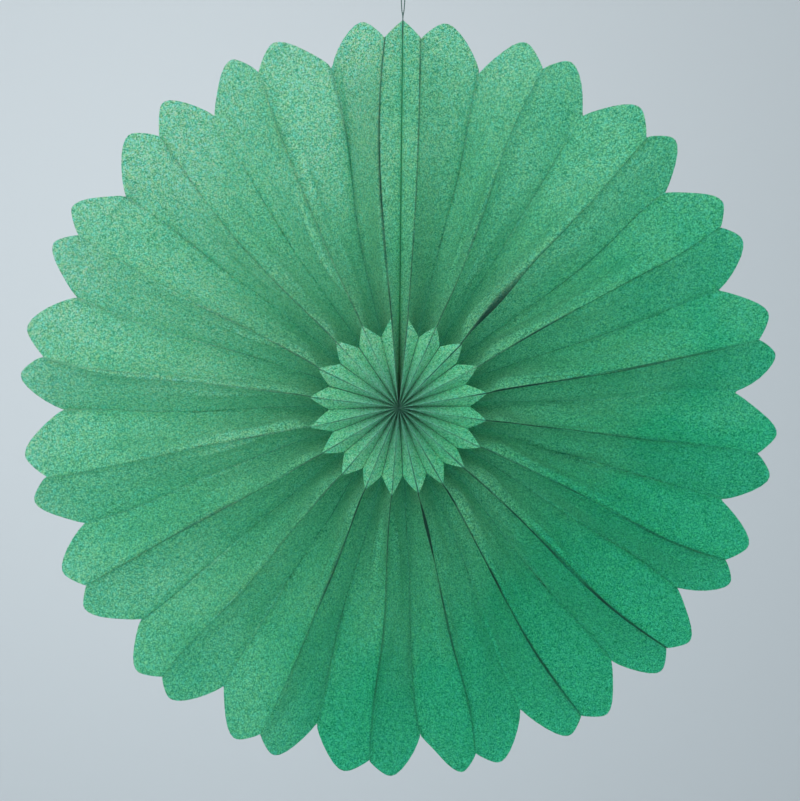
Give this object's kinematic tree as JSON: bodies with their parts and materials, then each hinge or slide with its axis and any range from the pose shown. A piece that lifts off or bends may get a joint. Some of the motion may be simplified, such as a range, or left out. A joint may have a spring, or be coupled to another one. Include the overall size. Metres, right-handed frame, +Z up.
{
  "type": "pleated paper fan rosette",
  "caption": "Round hanging paper fan of deep radial pleats with a lobed rim, a small pleated star on its face and a thread loop at the top.",
  "frame": {"origin": "where the thread's loop bears on its hook: the inside of the top of the loop", "axes": "+Z up along the hanging thread, -Y out of the fan's face, +X to the right as the face is seen"},
  "size_m": [0.4038, 0.0422, 0.4359],
  "materials": {
    "leaf_paper": "thin green paper, uncoated",
    "star_paper": "thin green paper, uncoated",
    "thread": "twisted grey-green thread"
  },
  "bodies": {
    "root": {"fan_sheet": "leaf_paper", "star_sheet": "star_paper", "tie_thread": "thread", "hanging_loop": "thread"}
  },
  "joints": []
}
